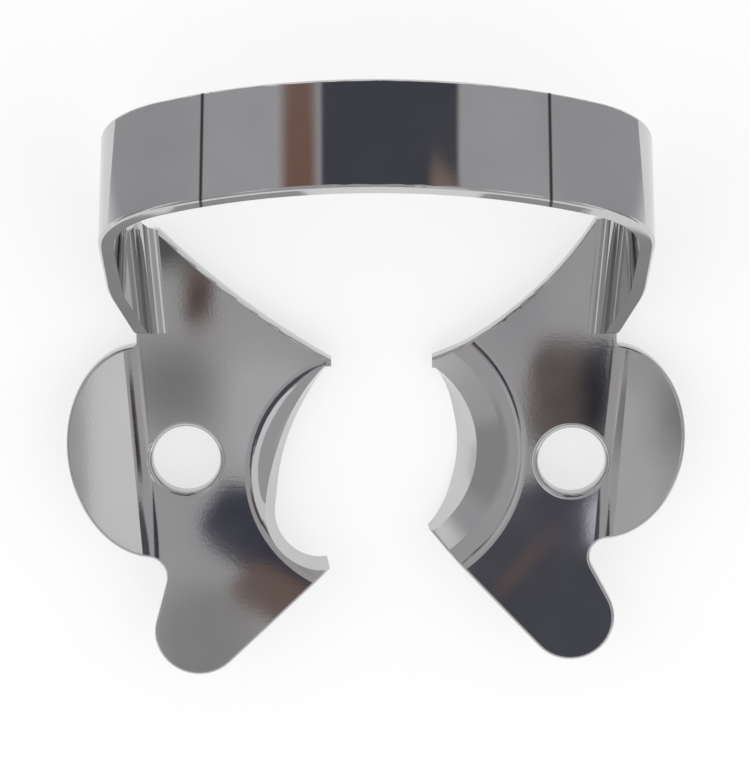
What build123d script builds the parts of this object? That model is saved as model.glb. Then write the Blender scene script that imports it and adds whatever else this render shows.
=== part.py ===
from build123d import *
import os
from math import asin, atan, cos, degrees, radians, sin, sqrt, tan

# Rubber dam clamp: one winged molar clamp, blanked from spring steel sheet and folded.
# In the jaws' own frame X runs from the left jaw to the right jaw, Y from the front
# (mesial) to the back (distal), and Z up from the jaws' top face to the bow.

# Sheet
SHEET = 0.6               # thickness of the spring steel
TUMBLED = 0.13            # rounding that tumbling leaves on the cut edges of the sheet's outer face
BLUNT_DEG = 12.0          # faces that meet at less than this are taken as one smooth face
WALL_SLANT = 0.1          # sine of the most that an upright wall leans
FACING = 0.6              # cosine of the most that an outer face turns from straight outwards
OVERRUN = 30.0            # how far every cut runs past the sheet
PAST_PRONG = 1.5          # how far the blank runs on past the prongs until the bite is cut

# Bow: a hoop bent the easy way, in a plane that leans back from the jaws
BOW_LEAN_DEG = 33.0
BOW_HEIGHT = 16.1         # along the leaning plane, from the jaws' top face to the crown's outer face
CROWN_RADIUS = 17.0       # outer face, over the middle of the bow
CROWN_HALF_DEG = 30.0
SHOULDER_RADIUS = 4.45    # outer face, between the crown and the legs
UPRIGHT = 4.2             # straight upright stretch of each leg below the shoulder
TUCK_RADIUS = 8.0         # outer face, gentle bend that turns the legs inwards
TUCK_DEG = 9.0
BOW_WIDTH = 3.85          # width of the strip at the crown
LEG_FLARE = 0.5           # how much wider the strip is at the foot of each leg
HEEL_RISE = 1.6           # length of leg over which it is drawn in
NOTCH_Y = 5.35            # front edge of each leg where it leaves the jaw
NOTCH_RISE = 0.5          # height over which that edge still stands upright
SHIN_ROUNDING = 1.5       # between that upright stretch and the leaning front edge
ANKLE_ROUNDING = 4.0      # between the leaning back edge and the drawn-in heel
NOTCH_WIDTH = 1.35        # from the start of the fold out to the corner of the notch
NOTCH_ROUNDING = 0.2      # in the corner between the notch and the wing
FOLD_RADIUS = 0.8         # inner radius of the fold between leg and jaw

# Wings are turned up a little along a line from the waist to the corner of the notch
WING_TURN_RADIUS = 5.0
WING_RISE_DEG = 9.0
WING_ROOT_SHARE = 0.85    # of the notch's width, where the line meets the notch
WAIST_TURN_DEG = 35.0     # where on the waist's rounding the line starts

# Jaws' inner edges are dished down round the tooth and ground to a bevel
DISH_DEG = 24.0
DISH_RADIUS = 2.6         # top face, the bend from the flat into the dish
DISH_SLOPE_SHARE = 0.8    # length of the dish's slope, of the radius at which the dish starts

# Forceps holes
HOLE_DIAMETER = 2.8
HOLE_ROUNDING = 0.26      # top rim, rolled in by the punch and tumbled

# Resting pose: on both heels of the legs and on the dished edge of one jaw
REST_TIP_DEG = 6.95       # how far the jaws' front edge lifts when the clamp lies down


class LeftJaw:
    """Sizes of the larger jaw, seen from above; x is measured outwards from the middle of the clamp."""
    side = -1
    hole_x = 7.93             # middle of the forceps hole
    hole_y = -0.09
    back_prong_x = 1.88       # corner of the back prong
    back_prong_y = 4.22
    back_blunt = 0.3          # length of that prong's cut end
    front_prong_x = 2.1       # corner of the front prong, where the bite ends
    front_prong_y = -4.5
    tip_x = 1.97              # outer corner of the front prong's cut end
    tip_y = -4.9
    bite_x = 4.22             # deepest point of the bite
    bite_y = -2.3
    bevel = 0.4               # width of the ground bevel, at the deepest point of the bite
    back_bevel = 0.25         # and at the back prong
    front_bevel_x = 0.0       # and at the front prong
    front_bevel_y = 0.4
    dish_x = 0.1              # middle of the dished ring
    dish_y = -0.7
    dish_start = 5.4          # radius at which the flat jaw starts to bend down
    heel_cut = 0.85           # how much the leg is drawn in at the back where it meets the jaw
    root_sag = 0.3            # hollow of the back edge between leg and back prong
    lobe_x = 7.5              # middle of the round lobe at the front
    lobe_drop = 4.25          # from the waist forwards to the lobe's middle
    lobe_radius = 1.87
    waist_x = 8.3             # where the lobe's outer edge would meet the wing's middle line
    waist_inset = 1.0         # how far that point lies behind the wing's front end
    waist_radius = 0.9
    wing_x = 9.55             # middle of the wing's oval
    wing_drop = 0.55          # from the notch forwards to the wing's back end
    wing_half_width = 3.3
    wing_half_length = 4.6
    wing_turn_deg = 8.0       # how far the oval's long axis turns outwards at the back
    wing_y = NOTCH_Y - wing_drop - wing_half_length
    waist_y = wing_y - wing_half_length + waist_inset
    lobe_y = waist_y - lobe_drop


class RightJaw:
    """Sizes of the smaller jaw, measured the same way."""
    side = 1
    hole_x = 8.15
    hole_y = -0.15
    back_prong_x = 2.31
    back_prong_y = 4.2
    back_blunt = 0.5
    front_prong_x = 2.15
    front_prong_y = -3.2
    tip_x = 2.3
    tip_y = -3.42
    bite_x = 3.4
    bite_y = 0.25
    bevel = 0.8
    back_bevel = 0.15
    front_bevel_x = 0.25
    front_bevel_y = 0.12
    dish_x = -0.1
    dish_y = 0.25
    dish_start = 6.4
    heel_cut = 0.4
    root_sag = 0.65
    lobe_x = 8.2
    lobe_drop = 4.1
    lobe_radius = 1.85
    waist_x = 8.1
    waist_inset = 0.65
    waist_radius = 0.8
    wing_x = 9.6
    wing_drop = 0.5
    wing_half_width = 3.2
    wing_half_length = 4.2
    wing_turn_deg = 8.0
    wing_y = NOTCH_Y - wing_drop - wing_half_length
    waist_y = wing_y - wing_half_length + waist_inset
    lobe_y = waist_y - lobe_drop


lean = radians(BOW_LEAN_DEG)
tuck = radians(TUCK_DEG)

# The leg's plane meets the jaw along a line that turns a little outwards towards the back
fold_turn = atan(tan(tuck) * sin(lean))
leg_tilt = asin(sin(tuck) * cos(lean))
fold_deg = 90 - degrees(leg_tilt)
fold_setback = FOLD_RADIUS * tan(radians(fold_deg / 2))
foot_width = (BOW_WIDTH + LEG_FLARE) / cos(lean)
foot_room = SHOULDER_RADIUS * 2


def hoop_half(inset):
    """Right half of the hoop's profile, from the crown down to the foot, inset from the outer face."""
    crown = JernArc((0, BOW_HEIGHT - inset), (1, 0), CROWN_RADIUS - inset, -CROWN_HALF_DEG)
    shoulder = JernArc(crown @ 1, crown % 1, SHOULDER_RADIUS - inset, -(90 - CROWN_HALF_DEG))
    upright = Line(shoulder @ 1, shoulder @ 1 + (shoulder % 1) * UPRIGHT)
    bend = JernArc(upright @ 1, upright % 1, TUCK_RADIUS - inset, -TUCK_DEG)
    foot_length = (bend @ 1).Y / cos(tuck)
    foot = Line(bend @ 1, bend @ 1 + (bend % 1) * foot_length)
    return [crown, shoulder, upright, bend, foot]


def on_fold(side, y):
    """Point where the fold starts on the jaw's top face, at a place along Y."""
    foot_x = (hoop_half(SHEET)[-1] @ 1).X
    start_x = foot_x - fold_setback / cos(fold_turn)
    return Vector(side * (start_x + (y - NOTCH_Y) * tan(fold_turn)), y, 0)


def across_fold(side):
    """Drawing plane square to the fold line: local x runs outwards, local y is up."""
    outwards = Vector(side * cos(fold_turn), -sin(fold_turn), 0)
    return Plane(origin=on_fold(side, NOTCH_Y), x_dir=outwards, z_dir=outwards.cross(Vector(0, 0, 1)))


def sheet_between(top, low):
    """Face between a top line and a low line of the sheet, each a list of joined edges."""
    ends = [Line(top[0] @ 0, low[0] @ 0), Line(top[-1] @ 1, low[-1] @ 1)]
    return make_face(Curve() + top + low + ends)


def side_view(jaw):
    """Outline of the bow and one leg seen from the side, drawn on Y and Z."""
    rise = Vector(0, sin(lean), cos(lean))
    across = Vector(0, cos(lean), -sin(lean))
    below = Vector(0, 0, -OVERRUN)
    foot = Vector(0, NOTCH_Y, 0)
    shin = Vector(0, NOTCH_Y, NOTCH_RISE)
    top = foot + rise * (BOW_HEIGHT + OVERRUN)
    heel = Vector(0, NOTCH_Y + foot_width - jaw.heel_cut, 0)
    ankle = Vector(0, NOTCH_Y + foot_width, 0) + rise * HEEL_RISE
    back = top + across * BOW_WIDTH
    outline = Polyline(foot + below, shin, top, back, ankle, heel, heel + below, close=True)
    face = make_face(outline.edges())
    face = fillet(face.vertices().sort_by_distance(shin)[0], SHIN_ROUNDING)
    return fillet(face.vertices().sort_by_distance(ankle)[0], ANKLE_ROUNDING)


def bow():
    """The hoop down to where the folds begin, wider than the strip it is cut from."""
    plane = Plane(origin=(0, NOTCH_Y, 0), x_dir=(1, 0, 0), z_dir=(0, -cos(lean), sin(lean)))
    half = sheet_between(hoop_half(0), hoop_half(SHEET))
    hoop = extrude(plane * (half + mirror(half, about=Plane.YZ)), amount=OVERRUN, both=True)
    for side in (-1, 1):
        corner = across_fold(side) * Pos(fold_setback, 0)
        fold_end = corner * Rotation(0, 0, fold_deg) * Pos(fold_setback, 0)
        below = Box(foot_room, foot_room, 2 * OVERRUN, align=(Align.MAX, Align.CENTER, Align.CENTER))
        hoop -= fold_end * below
    return hoop


def fold(side):
    """The fold from the jaw up into the leg."""
    inner = JernArc((0, 0), (1, 0), FOLD_RADIUS, fold_deg)
    outer = JernArc((0, -SHEET), (1, 0), FOLD_RADIUS + SHEET, fold_deg)
    return extrude(across_fold(side) * sheet_between([inner], [outer]), amount=OVERRUN, both=True)


def corners(jaw):
    """Corners of the jaw's outline from above: back prong, front prong, cut tip and waist."""
    places = (
        (jaw.back_prong_x, jaw.back_prong_y),
        (jaw.front_prong_x, jaw.front_prong_y),
        (jaw.tip_x, jaw.tip_y),
        (jaw.waist_x, jaw.waist_y),
    )
    return [Vector(jaw.side * x, y) for x, y in places]


def back_edge(jaw):
    """The jaw's hollow back edge, from the root of the leg to the back prong."""
    back = corners(jaw)[0]
    root = on_fold(jaw.side, NOTCH_Y + foot_width - jaw.heel_cut)
    chord = (back - root).normalized()
    hollow = (root + back) / 2 + Vector(-chord.Y, chord.X) * jaw.side * jaw.root_sag
    return ThreePointArc(root, hollow, back)


def past_prongs(jaw):
    """Points where the back edge and the front edge of the blank end, past the two prongs."""
    back, front, tip, waist = corners(jaw)
    lobe = Vector(jaw.side * jaw.lobe_x, jaw.lobe_y) - tip
    turn = degrees(asin(jaw.lobe_radius / lobe.length))
    forwards = lobe.normalized().rotate(Axis.Z, -jaw.side * turn)
    return back + (back_edge(jaw) % 1) * PAST_PRONG, tip - forwards * PAST_PRONG


def outline(jaw):
    """The jaw's blank from above: lobe, wing and the root of the leg, with the bite not yet cut."""
    side = jaw.side
    back, front, tip, waist = corners(jaw)
    past_back, past_tip = past_prongs(jaw)
    notch = on_fold(side, NOTCH_Y)
    corner = notch + Vector(side * NOTCH_WIDTH, 0)
    edge = back_edge(jaw)
    body = make_face(Curve() + [edge, Polyline(edge @ 1, past_back, past_tip, waist, notch, edge @ 0)])
    lobe = Pos(side * jaw.lobe_x, jaw.lobe_y) * Rotation(0, 0, 90) * Circle(jaw.lobe_radius)
    arm = make_hull(lobe.edges() + Polyline(past_tip, waist).edges())
    wing = Ellipse(jaw.wing_half_width, jaw.wing_half_length)
    wing = Pos(side * jaw.wing_x, jaw.wing_y) * Rotation(0, 0, -side * jaw.wing_turn_deg) * wing
    web = Polyline(notch, corner, (corner.X, jaw.wing_y), (waist.X, jaw.wing_y), close=True)
    whole = body + arm + wing + make_face(web.edges())
    below_wing = Vector(waist.X, jaw.wing_y - jaw.wing_half_length)
    above_wing = Vector(corner.X, jaw.wing_y + jaw.wing_half_length)
    neck = whole.vertices().sort_by_distance(below_wing)[0]
    whole = fillet(neck, jaw.waist_radius)
    nook = whole.vertices().filter_by(lambda v: v.Y < corner.Y).sort_by_distance(above_wing)[0]
    return fillet(nook, NOTCH_ROUNDING)


def wing_root(jaw, face):
    """Drawing plane square to the line that the wing turns up from: local x outwards, local y up."""
    side = jaw.side
    waist = Vector(side * jaw.waist_x, jaw.wing_y - jaw.wing_half_length)
    rounding = face.edges().filter_by(GeomType.CIRCLE).sort_by_distance(waist)[0]
    turn = radians(WAIST_TURN_DEG)
    start = rounding.arc_center + Vector(-side * cos(turn), sin(turn)) * jaw.waist_radius
    end = on_fold(side, NOTCH_Y) + Vector(side * NOTCH_WIDTH * WING_ROOT_SHARE, 0)
    along = (end - start).normalized()
    outwards = Vector(side * along.Y, -side * along.X)
    return Plane(origin=start, x_dir=outwards, z_dir=outwards.cross(Vector(0, 0, 1)))


def sheet(jaw, face):
    """The jaw's sheet without its outline: flat, with the wing's part turned up."""
    top_turn = JernArc((0, 0), (1, 0), WING_TURN_RADIUS, WING_RISE_DEG)
    low_turn = JernArc((0, -SHEET), (1, 0), WING_TURN_RADIUS + SHEET, WING_RISE_DEG)
    top = [top_turn, Line(top_turn @ 1, top_turn @ 1 + (top_turn % 1) * OVERRUN)]
    low = [low_turn, Line(low_turn @ 1, low_turn @ 1 + (low_turn % 1) * OVERRUN)]
    root = wing_root(jaw, face)
    upwards = -jaw.side * OVERRUN
    turned = extrude(root * sheet_between(top, low), amount=upwards)
    flat = Box(2 * OVERRUN, 2 * OVERRUN, SHEET, align=(Align.CENTER, Align.CENTER, Align.MAX))
    outside = Rectangle(OVERRUN, 2 * OVERRUN, align=(Align.MIN, Align.CENTER))
    wing_room = extrude(root * outside, amount=upwards)
    return flat - wing_room + turned


def dish(jaw):
    """The dished ring round the tooth, and the round plug of flat sheet that it takes the place of."""
    reach = jaw.dish_start
    top = JernArc((reach, 0), (-1, 0), DISH_RADIUS, DISH_DEG)
    low = JernArc((reach, -SHEET), (-1, 0), DISH_RADIUS - SHEET, DISH_DEG)
    run = DISH_SLOPE_SHARE * reach
    top_slope = Line(top @ 1, top @ 1 + (top % 1) * run)
    low_slope = Line(low @ 1, low @ 1 + (low % 1) * run)
    section = sheet_between([top, top_slope], [low, low_slope])
    ring = revolve(Plane.XZ * section, Axis.Z)
    place = Pos(jaw.side * jaw.dish_x, jaw.dish_y)
    return place * ring, place * Cylinder(reach, OVERRUN)


def dish_depth(jaw):
    """How far the dish's top face has dropped at the edge of the bite."""
    run = jaw.dish_start - (jaw.bite_x - jaw.dish_x)
    bend_run = DISH_RADIUS * sin(radians(DISH_DEG))
    if run < bend_run:
        return DISH_RADIUS - sqrt(DISH_RADIUS**2 - run**2)
    return DISH_RADIUS * (1 - cos(radians(DISH_DEG))) + (run - bend_run) * tan(radians(DISH_DEG))


def bite_arcs(jaw, share):
    """The bite's two arcs from above, moved back into the jaw by a share of the bevel."""
    side = jaw.side
    bite = Vector(side * (jaw.bite_x + share * jaw.bevel), jaw.bite_y)
    back = Vector(side * (jaw.back_prong_x + share * jaw.back_bevel), jaw.back_prong_y - jaw.back_blunt)
    front = Vector(
        side * (jaw.front_prong_x + share * jaw.front_bevel_x),
        jaw.front_prong_y - share * jaw.front_bevel_y,
    )
    return [TangentArc(bite, back, tangent=(0, 1)), TangentArc(bite, front, tangent=(0, -1))]


def bite(jaw):
    """What is cut away between the prongs, with the blank's ends past them."""
    back, front, tip, waist = corners(jaw)
    tip_end = tip + (tip - front).normalized() * 2 * PAST_PRONG
    middle = -jaw.side * PAST_PRONG
    behind = back.Y + 2 * PAST_PRONG
    blunt = back - Vector(0, jaw.back_blunt)
    ends = Polyline(front, tip_end, (middle, tip_end.Y), (middle, behind), (back.X, behind), blunt)
    return extrude(make_face(Curve() + bite_arcs(jaw, 0) + ends), amount=OVERRUN, both=True)


def bevel(jaw):
    """The wedge that grinding takes off the jaw's inner edge."""
    depth = dish_depth(jaw)
    low, top = -depth - SHEET, -depth + jaw.bevel * tan(radians(DISH_DEG))
    faces = []
    for height, share in ((low, 0), (SHEET, (SHEET - low) / (top - low))):
        arcs = bite_arcs(jaw, share)
        back, front = arcs[0] @ 1, arcs[1] @ 1
        middle = Polyline(front, (0, front.Y), (0, back.Y), back)
        faces.append(Pos(0, 0, height) * make_face(Curve() + arcs + middle))
    return loft(faces, ruled=True)


def rims(solid, joints, inner):
    """Sharp edges of a sheet's face that looks away from an inner point.

    Those of the upright walls nearest to the joints are left out.
    """
    faces = [(face, face.edges()) for face in solid.faces()]
    walls = solid.faces().filter_by(lambda face: abs(face.normal_at().Z) < WALL_SLANT)
    joined = ShapeList()
    for point in joints:
        joined += walls.sort_by_distance(point)[0].edges()
    sharp = ShapeList()
    for edge in solid.edges():
        first, second = [face.normal_at(edge @ 0.5) for face, edges in faces if edge in edges]
        away = (edge @ 0.5 - inner).normalized()
        outer = max(first.dot(away), second.dot(away)) > FACING
        if outer and first.get_angle(second) > BLUNT_DEG and edge not in joined:
            sharp.append(edge)
    return sharp


def with_hole(jaw, solid):
    """The jaw with its forceps hole, whose top rim is rolled in by the punch."""
    radius = HOLE_DIAMETER / 2
    middle = Vector(jaw.side * jaw.hole_x, jaw.hole_y)
    solid -= Pos(middle) * Cylinder(radius, OVERRUN)
    on_wall = middle - Vector(0, radius, SHEET / 2)
    wall = solid.faces().filter_by(GeomType.CYLINDER).sort_by_distance(on_wall)[0]
    level = wall.edges().filter_by(lambda edge: abs((edge % 0.5).Z) < WALL_SLANT)
    return fillet(level.filter_by(lambda edge: (edge @ 0.5).Z > -SHEET / 2), HOLE_ROUNDING)


def jaw_solid(jaw):
    """One jaw with its lobe, wing, dish, bevel and forceps hole."""
    blank = outline(jaw)
    ring, plug = dish(jaw)
    solid = (sheet(jaw, blank) - plug + ring) & extrude(blank, amount=OVERRUN, both=True)
    notch = on_fold(jaw.side, NOTCH_Y)
    past_back, past_tip = past_prongs(jaw)
    joints = [
        (notch + back_edge(jaw) @ 0) / 2,
        notch + Vector(jaw.side * NOTCH_WIDTH / 2, 0),
        (past_back + past_tip) / 2,
    ]
    solid = fillet(rims(solid, joints, Vector(0, 0, -OVERRUN)), TUMBLED)
    return with_hole(jaw, solid) - bite(jaw) - bevel(jaw)


def strip(jaw):
    """The jaw's half of the bow, with its leg and fold."""
    band = (bow() + fold(jaw.side)) & extrude(side_view(jaw), amount=OVERRUN, both=True)
    half = Box(OVERRUN, 2 * OVERRUN, 2 * OVERRUN, align=(Align.MIN, Align.CENTER, Align.CENTER))
    band &= half if jaw.side > 0 else mirror(half, about=Plane.YZ)
    notch = on_fold(jaw.side, NOTCH_Y)
    rise = Vector(0, sin(lean), cos(lean))
    across = Vector(0, cos(lean), -sin(lean))
    joints = [
        (notch + back_edge(jaw) @ 0) / 2,
        notch + Vector(jaw.side * SHEET, 0),
        Vector(0, NOTCH_Y) + rise * BOW_HEIGHT + across * BOW_WIDTH / 2,
    ]
    inner = Vector(0, NOTCH_Y) + (rise * BOW_HEIGHT + across * BOW_WIDTH) / 2
    return fillet(rims(band, joints, inner), TUMBLED)


def clamp():
    """The whole clamp in the jaws' own frame."""
    return strip(LeftJaw) + strip(RightJaw) + jaw_solid(LeftJaw) + jaw_solid(RightJaw)


def at_rest(shape):
    """The clamp as it lies on a table, with the origin under the middle of its bounding box."""
    tipped = Rotation(-REST_TIP_DEG, 0, 0) * shape
    box = tipped.bounding_box()
    return Pos(-box.center().X, -box.center().Y, -box.min.Z) * tipped


if __name__ == "__main__":
    os.makedirs("parts", exist_ok=True)
    whole = at_rest(clamp())
    print("clamp", whole.volume, len(whole.solids()), whole.is_valid, len(whole.faces()))
    export_step(whole, "parts/clamp_spring.step")
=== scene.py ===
from math import atan, cos, radians, sin

import bpy
from mathutils import Matrix, Vector

bl_info = {
    "name": "Rubber Dam Clamp",
    "version": (1, 0, 0),
    "blender": (4, 5, 0),
    "location": "View3D > Sidebar > Dam Clamp",
    "description": "Dresses a winged molar clamp in polished spring steel and sets up its studio",
    "category": "Object",
}

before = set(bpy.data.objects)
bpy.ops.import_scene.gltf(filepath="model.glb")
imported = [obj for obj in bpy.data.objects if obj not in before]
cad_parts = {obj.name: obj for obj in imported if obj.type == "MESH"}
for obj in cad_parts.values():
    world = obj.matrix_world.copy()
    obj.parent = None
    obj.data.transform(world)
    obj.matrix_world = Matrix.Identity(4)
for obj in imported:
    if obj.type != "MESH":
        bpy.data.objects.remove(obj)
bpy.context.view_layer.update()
MM = 0.001


# Colours and materials


def to_linear(colour_hex, alpha=1.0):
    """An sRGB hex colour as the linear values that shaders take."""
    channels = [int(colour_hex[i:i + 2], 16) / 255 for i in (1, 3, 5)]
    return [c / 12.92 if c <= 0.04045 else ((c + 0.055) / 1.055) ** 2.4 for c in channels] + [alpha]


def add_node(tree, kind, inputs=None, **settings):
    """Adds a shader node, sets its properties and then its inputs, which are values or sockets to link from."""
    node = tree.nodes.new(kind)
    for name, value in settings.items():
        setattr(node, name, value)
    for name, value in (inputs or {}).items():
        if isinstance(value, bpy.types.NodeSocket):
            tree.links.new(value, node.inputs[name])
        else:
            node.inputs[name].default_value = value
    return node


def new_material(name):
    """An empty node material and its tree."""
    material = bpy.data.materials.new(name)
    material.use_nodes = True
    material.node_tree.nodes.clear()
    return material, material.node_tree


def polished_spring_steel(steel):
    """Stainless spring steel, buffed to a mirror and then tumbled.

    Buffing leaves a grey mirror whose reflections are a little soft and wave with the rolled sheet.
    Tumbling leaves fine nicks and a faint grain that shows only in the highlights.
    """
    material, tree = new_material("polished spring steel")
    place = add_node(tree, "ShaderNodeTexCoord").outputs["Object"]
    # Rolled sheet is never quite flat: waves a few millimetres long, some microns high
    waves = add_node(tree, "ShaderNodeTexNoise", {"Vector": place, "Scale": 1 / steel.wave_length, "Detail": 1.0})
    rolled = add_node(tree, "ShaderNodeBump", {"Height": waves.outputs["Fac"], "Strength": 1.0,
                                               "Distance": steel.wave_height})
    # Rolling lines run along the strip, drawn coarser than their real 0.01 mm so that they show
    along = add_node(tree, "ShaderNodeMapping", {"Vector": place, "Scale": (0.12, 1.0, 1.0)})
    lines = add_node(tree, "ShaderNodeTexNoise", {"Vector": along.outputs["Vector"],
                                                  "Scale": 1 / steel.line_spacing, "Detail": 3.0})
    drawn = add_node(tree, "ShaderNodeBump", {"Height": lines.outputs["Fac"], "Strength": 1.0,
                                              "Distance": steel.line_height, "Normal": rolled.outputs["Normal"]})
    # Tumbling grain, drawn coarser than its real 0.02 mm so that it shows
    grain = add_node(tree, "ShaderNodeTexNoise", {"Vector": place, "Scale": 1 / steel.grain_size, "Detail": 3.0})
    tumbled = add_node(tree, "ShaderNodeBump", {"Height": grain.outputs["Fac"], "Strength": 1.0,
                                                "Distance": steel.grain_height, "Normal": drawn.outputs["Normal"]})
    # Two fine lines across the bow, where the bending tool's edges pressed: painted shade, a dark base colour standing
    # for the shade in these creases
    axes = add_node(tree, "ShaderNodeSeparateXYZ", {"Vector": place})
    width = add_node(tree, "ShaderNodeMath", {0: axes.outputs["X"]}, operation="ABSOLUTE")
    off = add_node(tree, "ShaderNodeMath", {0: width.outputs[0], 1: steel.press_line_place}, operation="SUBTRACT")
    near = add_node(tree, "ShaderNodeMath", {0: off.outputs[0]}, operation="ABSOLUTE")
    line = add_node(tree, "ShaderNodeMapRange", {"Value": near.outputs[0], "From Min": steel.press_line_width * 0.3,
                                                 "From Max": steel.press_line_width, "To Min": 1.0, "To Max": 0.0})
    high = add_node(tree, "ShaderNodeMapRange", {"Value": axes.outputs["Z"], "From Min": steel.press_line_height,
                                                 "From Max": steel.press_line_height + 0.2 * MM})
    crease_shade_mask = add_node(tree, "ShaderNodeMath", {0: line.outputs["Result"], 1: high.outputs["Result"]},
                       operation="MULTIPLY")
    # Buffing is uneven: patches of slightly duller steel
    patches = add_node(tree, "ShaderNodeTexNoise", {"Vector": place, "Scale": 1 / steel.patch_size, "Detail": 2.0})
    dullness = add_node(tree, "ShaderNodeMapRange", {"Value": patches.outputs["Fac"], "From Min": 0.3, "From Max": 0.7,
                                                     "To Min": steel.roughness * 0.8, "To Max": steel.roughness * 1.3})
    tone = add_node(tree, "ShaderNodeMix", {"Factor": patches.outputs["Fac"], "A": to_linear(steel.colour_low),
                                            "B": to_linear(steel.colour_high)}, data_type="RGBA")
    # The press lines' painted shade darkens the base colour there
    crease_shaded_tone = add_node(tree, "ShaderNodeMix", {"Factor": crease_shade_mask.outputs[0], "A": tone.outputs["Result"],
                                              "B": to_linear(steel.press_line_shade_colour)}, data_type="RGBA")
    surface = add_node(tree, "ShaderNodeBsdfPrincipled", {"Base Color": crease_shaded_tone.outputs["Result"], "Metallic": 1.0,
                                                          "Roughness": dullness.outputs["Result"],
                                                          "Normal": tumbled.outputs["Normal"]})
    add_node(tree, "ShaderNodeOutputMaterial", {"Surface": surface.outputs["BSDF"]})
    return material


def soft_card(name, colour_hex, half, soft):
    """Card of one tone that glows with its own colour and that only reflections show; its edges fade out over the soft
    share.
    """
    material, tree = new_material(name)
    place = add_node(tree, "ShaderNodeTexCoord").outputs["Object"]
    share = add_node(tree, "ShaderNodeVectorMath", {0: place, 1: (1 / half[0], 1 / half[1], 0)}, operation="MULTIPLY")
    size = add_node(tree, "ShaderNodeVectorMath", {0: share.outputs[0]}, operation="ABSOLUTE")
    axes = add_node(tree, "ShaderNodeSeparateXYZ", {"Vector": size.outputs[0]})
    # Rounded corners: the fourth powers of the two shares are added
    powers = [add_node(tree, "ShaderNodeMath", {0: axes.outputs[axis], 1: 4.0}, operation="POWER") for axis in "XY"]
    added = add_node(tree, "ShaderNodeMath", {0: powers[0].outputs[0], 1: powers[1].outputs[0]}, operation="ADD")
    root = add_node(tree, "ShaderNodeMath", {0: added.outputs[0], 1: 0.25}, operation="POWER")
    fade = add_node(tree, "ShaderNodeMapRange", {"Value": root.outputs[0], "From Min": 1.0 - soft, "From Max": 1.0,
                                                 "To Min": 1.0, "To Max": 0.0}, interpolation_type="SMOOTHSTEP")
    tone = add_node(tree, "ShaderNodeEmission", {"Color": to_linear(colour_hex), "Strength": 1.0})
    clear = add_node(tree, "ShaderNodeBsdfTransparent")
    both = add_node(tree, "ShaderNodeMixShader", {0: fade.outputs["Result"], 1: clear.outputs[0], 2: tone.outputs[0]})
    add_node(tree, "ShaderNodeOutputMaterial", {"Surface": both.outputs[0]})
    return material


# Sizes and colours that a user would change


class SpringSteelSettings(bpy.types.PropertyGroup):
    colour_low: bpy.props.StringProperty(name="Darker steel", description="sRGB colour of the duller patches",
                                         default="#bfbfc0")
    colour_high: bpy.props.StringProperty(name="Lighter steel", description="sRGB colour of the brighter patches",
                                          default="#cccccd")
    roughness: bpy.props.FloatProperty(name="Roughness", description="Softness of the reflections", default=0.045,
                                       min=0.0, max=1.0, subtype="FACTOR")
    wave_length: bpy.props.FloatProperty(name="Wave length", description="Length of the waves in the rolled sheet",
                                         default=4.0 * MM, precision=5, unit="LENGTH")
    wave_height: bpy.props.FloatProperty(name="Wave height", description="Height of the waves in the rolled sheet",
                                         default=0.004 * MM, precision=6, unit="LENGTH")
    grain_size: bpy.props.FloatProperty(name="Grain size", description="Spacing of the tumbling grain",
                                        default=0.12 * MM, precision=5, unit="LENGTH")
    grain_height: bpy.props.FloatProperty(name="Grain height", description="Depth of the tumbling grain",
                                          default=0.0002 * MM, precision=8, unit="LENGTH")
    line_spacing: bpy.props.FloatProperty(name="Line spacing", description="Spacing of the rolling lines",
                                          default=0.15 * MM, precision=5, unit="LENGTH")
    line_height: bpy.props.FloatProperty(name="Line height", description="Depth of the rolling lines",
                                         default=0.00012 * MM, precision=8, unit="LENGTH")
    press_line_place: bpy.props.FloatProperty(name="Press lines", description="From the middle to each press line",
                                              default=6.52 * MM, precision=5, unit="LENGTH")
    press_line_width: bpy.props.FloatProperty(name="Press line width", description="Half width of a press line",
                                              default=0.09 * MM, precision=5, unit="LENGTH")
    press_line_height: bpy.props.FloatProperty(name="Press line height", description="Height where the lines start",
                                               default=8.0 * MM, precision=5, unit="LENGTH")
    # Colour of the painted shade along the press lines
    press_line_shade_colour: bpy.props.StringProperty(name="Press line colour", description="sRGB colour of a press line",
                                                default="#4c4a49")
    patch_size: bpy.props.FloatProperty(name="Patch size", description="Size of the unevenly buffed patches",
                                        default=2.5 * MM, precision=5, unit="LENGTH")


class StudioSettings(bpy.types.PropertyGroup):
    floor_colour: bpy.props.StringProperty(name="Floor", description="sRGB colour of the floor", default="#f7f7f7")
    floor_size: bpy.props.FloatProperty(name="Floor size", description="Length of the floor's sides",
                                        default=2.0, unit="LENGTH")
    camera_lean: bpy.props.FloatProperty(name="Camera lean", description="Angle between the jaws' normal and the view",
                                         default=radians(15.0), unit="ROTATION")
    camera_distance: bpy.props.FloatProperty(name="Camera distance", description="From the middle of the jaws",
                                             default=140.0 * MM, unit="LENGTH")
    lens: bpy.props.FloatProperty(name="Lens", description="Focal length for a sensor 36 mm wide", default=161.1)
    world_light: bpy.props.FloatProperty(name="World light", description="Strength of the even light", default=0.95)


# Pieces


class DAMCLAMP_OT_clamp(bpy.types.Operator):
    """Gives the formed clamp its polished spring steel"""
    bl_idname = "damclamp.clamp"
    bl_label = "Spring Steel Clamp"

    def execute(self, context):
        steel = context.scene.damclamp_steel
        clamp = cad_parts["clamp_spring"]
        clamp.data.materials.clear()
        clamp.data.materials.append(polished_spring_steel(steel))
        return {"FINISHED"}


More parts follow.
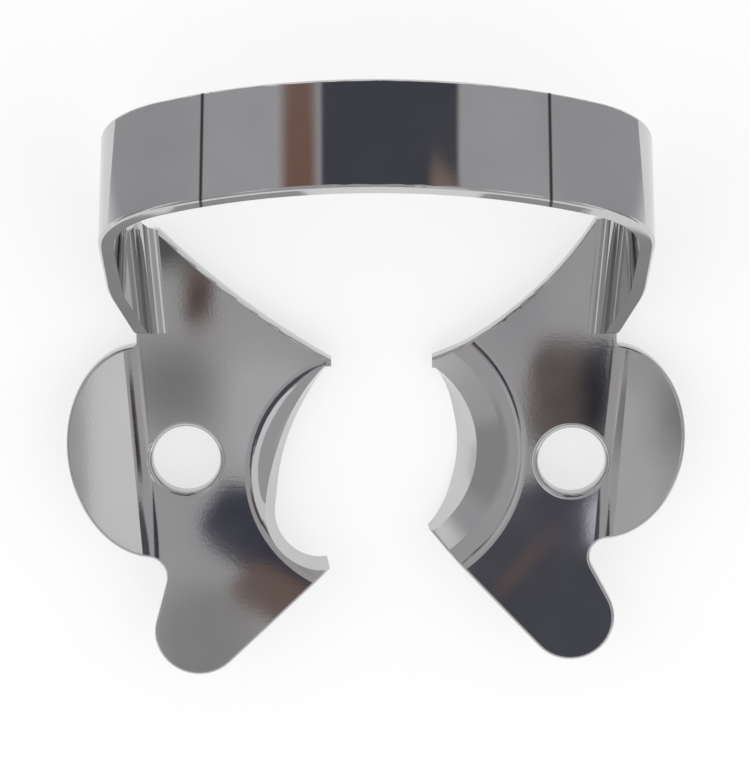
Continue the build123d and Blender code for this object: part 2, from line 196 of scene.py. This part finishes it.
# Cards of the studio: where each hangs, its centre from the middle of the jaws with its half sizes in millimetres,
# its spin in degrees, the share of it that fades, and its sRGB colour. They are fitted to one photograph's view:
# the steel mirrors them there as its dark, brown and pale areas, and elsewhere in other views.
CARDS = (
    ("brown column", "above", (19.0, -46.9, 200.0), (3.6, 6.8), 0.0, 0.25, "#665a56"),
    ("navy column", "above", (23.0, -46.6, 199.0), (2.3, 6.6), 0.0, 0.3, "#24242e"),
    ("navy front", "above", (15.6, -50.0, 140.0), (9.8, 9.8), 49.0, 0.1, "#56565f"),
    ("brown streak", "above", (12.6, -46.6, 139.0), (6.4, 1.0), 49.0, 0.9, "#75645f"),
    ("pale strip", "above", (18.9, -42.6, 138.0), (1.3, 2.6), 0.0, 0.4, "#e0dce8"),
    ("pale ceiling", "above", (36.5, -38.0, 142.0), (16.6, 40.0), 0.0, 0.06, "#f4f2f2"),
    ("pale left", "above", (-26.5, -42.0, 142.0), (7.2, 15.0), 0.0, 0.25, "#cccaca"),
    ("pale dish right", "above", (-88.0, 62.0, 140.0), (26.0, 26.0), 0.0, 0.9, "#ffffff"),
    ("pale dish left", "above", (98.0, 48.0, 140.0), (36.0, 34.0), 0.0, 0.8, "#ffffff"),
    ("navy corner", "above", (-8.4, -45.2, 140.0), (7.4, 3.6), -33.0, 0.12, "#454653"),
    ("brown corner", "above", (-7.6, -50.0, 139.0), (5.4, 2.6), -30.0, 0.25, "#7f6c65"),
    ("grey cloud", "above", (-17.0, -31.2, 140.0), (5.6, 5.6), 0.0, 0.8, "#949291"),
    ("brown back left", "above", (-14.9, -23.0, 140.0), (1.8, 5.0), 0.0, 0.6, "#66524b"),
    ("grey back left", "above", (-17.6, -18.6, 139.0), (3.2, 3.6), 0.0, 0.7, "#5f5d5c"),
    ("dim plate right", "above", (11.0, -24.0, 141.0), (5.0, 7.0), 0.0, 0.8, "#b0aeb0"),
    ("pale plate left", "above", (-9.5, -34.0, 141.0), (5.5, 8.0), 0.0, 0.7, "#d0cecf"),
    ("dim lobe left", "above", (-14.7, -53.8, 141.0), (5.6, 6.0), 0.0, 0.5, "#a3a1a1"),
    ("dim dish right", "above", (-130.0, -40.0, 138.0), (60.0, 70.0), 0.0, 0.5, "#a5a3a4"),
    ("navy behind", "behind", (7.9, 0.0, 140.0), (41.5, 60.0), 0.0, 0.1, "#51525a"),
    ("brown behind left", "behind", (-45.0, 0.0, 139.0), (15.0, 40.0), 0.0, 0.6, "#876b60"),
    ("brown behind right", "behind", (40.0, 8.0, 138.0), (13.0, 4.8), 0.0, 0.5, "#917e76"),
    ("grey ceiling", "above", (0.0, -20.0, 215.0), (420.0, 420.0), 0.0, 0.5, "#bcbabb"),
    ("grey wall", "behind", (0.0, -20.0, 165.0), (260.0, 170.0), 0.0, 0.3, "#b9b8ba"),
    ("near flag left", "left", (0.0, 37.0, 21.0), (20.0, 27.0), 0.0, 0.2, "#b4b2b5"),
    ("near flag right", "right", (0.0, 37.0, 21.0), (20.0, 27.0), 0.0, 0.2, "#b4b2b5"),
    ("grey flag left", "left", (0.0, 20.0, 150.0), (110.0, 130.0), 0.0, 0.3, "#a4a2a4"),
    ("grey flag right", "right", (0.0, 20.0, 150.0), (110.0, 130.0), 0.0, 0.3, "#a4a2a4"),
)

# How each kind of place is turned from the jaws' own frame: the card's centre lies along its own Z axis
CARD_TURNS = {
    "above": Matrix.Identity(4),
    "behind": Matrix.Rotation(radians(-51.0), 4, "X"),
    "left": Matrix.Rotation(radians(-90.0), 4, "Y"),
    "right": Matrix.Rotation(radians(90.0), 4, "Y"),
}

# Soft lamps: where each hangs in metres, and its power in watts
LAMPS = (
    ("soft lamp left", (-0.6, 0.15, 0.5), 1.0),
    ("soft lamp right", (0.6, -0.1, 0.5), 0.9),
)
LAMP_SIZE = 1.0
FLOOR_GLOW = 0.6  # share of the background's white in the floor, as the camera and reflections see it

# The jaws' own frame, as it stands in the resting clamp
REST_TIP = Matrix.Rotation(radians(-6.95), 4, "X")
JAWS_MIDDLE = Vector((0.0288, -4.6508, 1.8420)) * MM


def in_jaws(x, y, z):
    """A point given from the middle of the jaws' top face, in the clamp's frame."""
    return JAWS_MIDDLE + REST_TIP @ Vector((x, y, z))


class DAMCLAMP_OT_stage(bpy.types.Operator):
    """Lays the pale floor, hangs the soft lamps and the cards, and sets the camera"""
    bl_idname = "damclamp.stage"
    bl_label = "Studio"

    def execute(self, context):
        studio = context.scene.damclamp_studio
        self.floor(studio)
        self.world(studio)
        self.lamps()
        self.cards()
        self.camera(context, studio)
        context.scene.view_settings.view_transform = "Standard"
        return {"FINISHED"}

    def floor(self, studio):
        bpy.ops.object.select_all(action="DESELECT")
        bpy.ops.mesh.primitive_plane_add(size=studio.floor_size)
        floor = bpy.context.object
        floor.name = "floor"
        material, tree = new_material("pale matt table")
        matt = add_node(tree, "ShaderNodeBsdfDiffuse", {"Color": to_linear(studio.floor_colour)})
        glow = add_node(tree, "ShaderNodeEmission", {"Color": (1, 1, 1, 1), "Strength": 1.0})
        path = add_node(tree, "ShaderNodeLightPath")
        seen = add_node(tree, "ShaderNodeMath", {0: path.outputs["Is Camera Ray"], 1: path.outputs["Is Glossy Ray"]},
                        operation="MAXIMUM")
        share = add_node(tree, "ShaderNodeMath", {0: seen.outputs[0], 1: FLOOR_GLOW}, operation="MULTIPLY")
        both = add_node(tree, "ShaderNodeMixShader", {0: share.outputs[0], 1: matt.outputs[0], 2: glow.outputs[0]})
        add_node(tree, "ShaderNodeOutputMaterial", {"Surface": both.outputs[0]})
        floor.data.materials.append(material)

    def world(self, studio):
        world = bpy.data.worlds.new("studio")
        bpy.context.scene.world = world
        world.use_nodes = True
        tree = world.node_tree
        tree.nodes.clear()
        even = add_node(tree, "ShaderNodeBackground", {"Color": (1, 1, 1, 1), "Strength": studio.world_light})
        white = add_node(tree, "ShaderNodeBackground", {"Color": (1, 1, 1, 1), "Strength": 1.0})
        path = add_node(tree, "ShaderNodeLightPath")
        mirrored = add_node(tree, "ShaderNodeMath", {0: path.outputs["Is Glossy Ray"],
                                                     1: path.outputs["Is Transmission Ray"]}, operation="MAXIMUM")
        seen = add_node(tree, "ShaderNodeMath", {0: path.outputs["Is Camera Ray"], 1: mirrored.outputs[0]},
                        operation="MAXIMUM")
        both = add_node(tree, "ShaderNodeMixShader", {0: seen.outputs[0], 1: even.outputs[0], 2: white.outputs[0]})
        add_node(tree, "ShaderNodeOutputWorld", {"Surface": both.outputs[0]})

    def lamps(self):
        for name, place, power in LAMPS:
            bpy.ops.object.light_add(type="AREA", location=place)
            lamp = bpy.context.object
            lamp.name = name
            lamp.rotation_euler = (Vector((0, 0, 0)) - Vector(place)).to_track_quat("-Z", "Y").to_euler()
            lamp.data.shape = "DISK"
            lamp.data.size = LAMP_SIZE
            lamp.data.energy = power

    def cards(self):
        """Cards hung above and behind the clamp: their dark tones are what the polished steel mirrors."""
        for name, turn, place, half, spin, soft, colour in CARDS:
            card_turn = REST_TIP @ CARD_TURNS[turn]
            bpy.ops.object.select_all(action="DESELECT")
            bpy.ops.mesh.primitive_plane_add(size=2.0)
            card = bpy.context.object
            card.name = name
            card.scale = (half[0] * MM, half[1] * MM, 1.0)
            bpy.ops.object.transform_apply(location=False, rotation=False, scale=True)
            centre = JAWS_MIDDLE + card_turn @ (Vector(place) * MM)
            card.matrix_world = Matrix.Translation(centre) @ card_turn @ Matrix.Rotation(radians(spin), 4, "Z")
            card.data.materials.append(soft_card(name, colour, (half[0] * MM, half[1] * MM), soft))
            card.visible_camera = False
            card.visible_diffuse = False
            card.visible_shadow = False
            card.visible_transmission = False

    def camera(self, context, studio):
        bpy.ops.object.camera_add()
        camera = bpy.context.object
        context.scene.camera = camera
        camera.data.sensor_fit = "HORIZONTAL"
        camera.data.sensor_width = 36.0
        camera.data.lens = studio.lens
        camera.data.clip_start = 0.01
        # The photograph is centred 79.5 of its 750 pixels above the middle of the jaws, and 1.5 left of it
        pixel = studio.camera_distance * 36.0 / 750 / studio.lens
        lift = atan(79.5 * 36.0 / 750 / studio.lens)
        lean = studio.camera_lean
        away = REST_TIP @ Vector((0, sin(lean - lift), cos(lean - lift)))
        up = REST_TIP @ Vector((0, cos(lean - lift), -sin(lean - lift)))
        place = in_jaws(-1.5 * pixel, studio.camera_distance * sin(lean), studio.camera_distance * cos(lean))
        turn = Matrix((Vector((1, 0, 0)), up, away)).transposed()
        camera.matrix_world = Matrix.Translation(place) @ turn.to_4x4()


class DAMCLAMP_PT_panel(bpy.types.Panel):
    """Lists the clamp's pieces and its studio"""
    bl_label = "Rubber Dam Clamp"
    bl_idname = "DAMCLAMP_PT_panel"
    bl_space_type = "VIEW_3D"
    bl_region_type = "UI"
    bl_category = "Dam Clamp"

    def draw(self, context):
        for operator in (DAMCLAMP_OT_clamp, DAMCLAMP_OT_stage):
            self.layout.operator(operator.bl_idname)
        for settings in (context.scene.damclamp_steel, context.scene.damclamp_studio):
            box = self.layout.box()
            for name in settings.__annotations__:
                box.prop(settings, name)


CLASSES = (SpringSteelSettings, StudioSettings, DAMCLAMP_OT_clamp, DAMCLAMP_OT_stage, DAMCLAMP_PT_panel)


def register():
    for cls in CLASSES:
        bpy.utils.register_class(cls)
    bpy.types.Scene.damclamp_steel = bpy.props.PointerProperty(type=SpringSteelSettings)
    bpy.types.Scene.damclamp_studio = bpy.props.PointerProperty(type=StudioSettings)


def unregister():
    del bpy.types.Scene.damclamp_studio
    del bpy.types.Scene.damclamp_steel
    for cls in reversed(CLASSES):
        bpy.utils.unregister_class(cls)


def main():
    register()
    bpy.ops.damclamp.clamp()
    bpy.ops.damclamp.stage()


if __name__ == "__main__":
    main()
